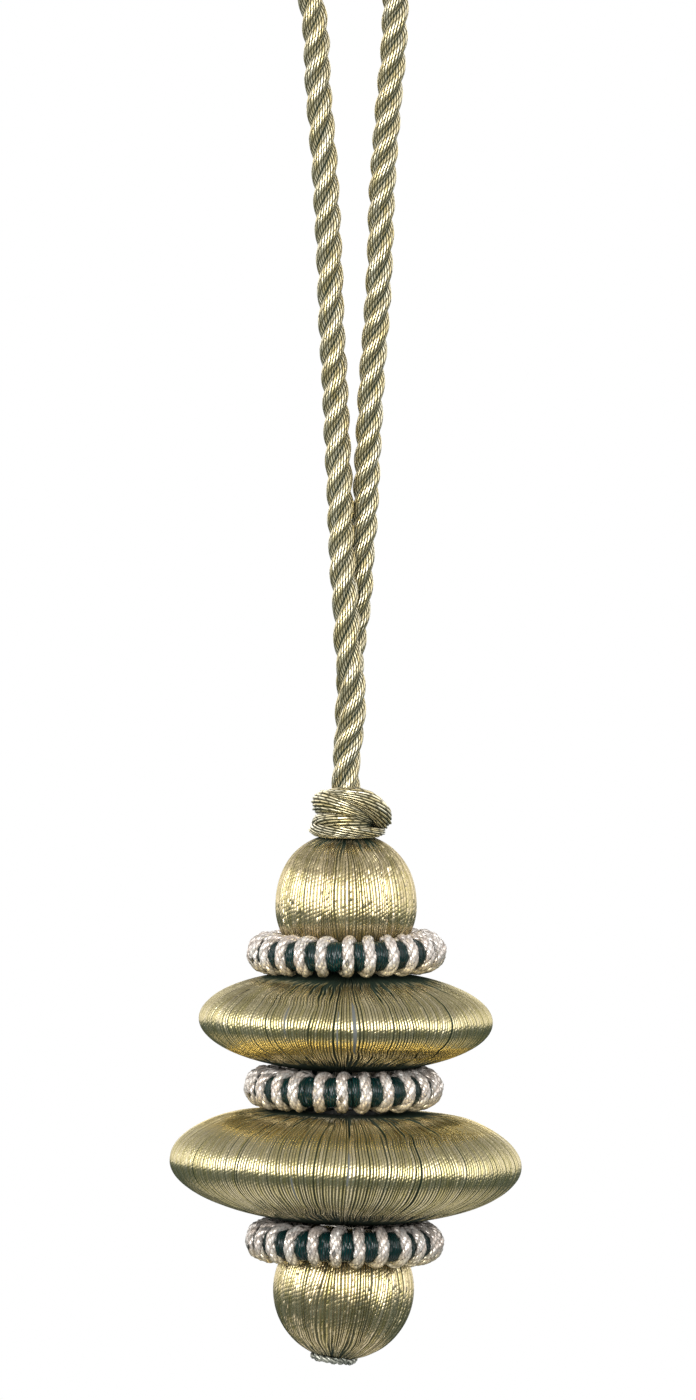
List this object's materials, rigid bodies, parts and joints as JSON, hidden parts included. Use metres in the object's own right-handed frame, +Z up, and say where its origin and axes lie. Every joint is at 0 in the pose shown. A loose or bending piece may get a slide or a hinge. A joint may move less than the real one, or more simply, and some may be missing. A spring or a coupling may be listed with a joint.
{
  "type": "key tassel",
  "caption": "Gold thread key tassel: wound balls, lens-shaped discs and corded rings threaded under a collar knot and a long twisted cord loop.",
  "frame": {"origin": "inside of the cord loop's crown, where a hook, knob or key bow bears", "axes": "+Z up along the hanging cord, +X to the right as seen from the front, -Y towards the viewer"},
  "size_m": [0.0704, 0.0704, 0.2955],
  "materials": {
    "gold_thread": "metallic gold thread, laid side by side",
    "gold_cord": "metallic gold thread, twisted into cord",
    "dark_silk": "dark teal silk with a slight sheen",
    "champagne_cord": "metallic champagne cord",
    "tie_thread": "dark grey and silver thread"
  },
  "bodies": {
    "root": {"hanging_cord": "gold_cord", "collar_knot": "gold_cord", "ball_upper": "gold_thread", "ring_core_1": "dark_silk", "ring_wrap_1": "champagne_cord", "disc_upper": "gold_thread", "ring_core_2": "dark_silk", "ring_wrap_2": "champagne_cord", "disc_lower": "gold_thread", "ring_core_3": "dark_silk", "ring_wrap_3": "champagne_cord", "ball_lower": "gold_thread", "end_tie": "tie_thread"}
  },
  "joints": []
}
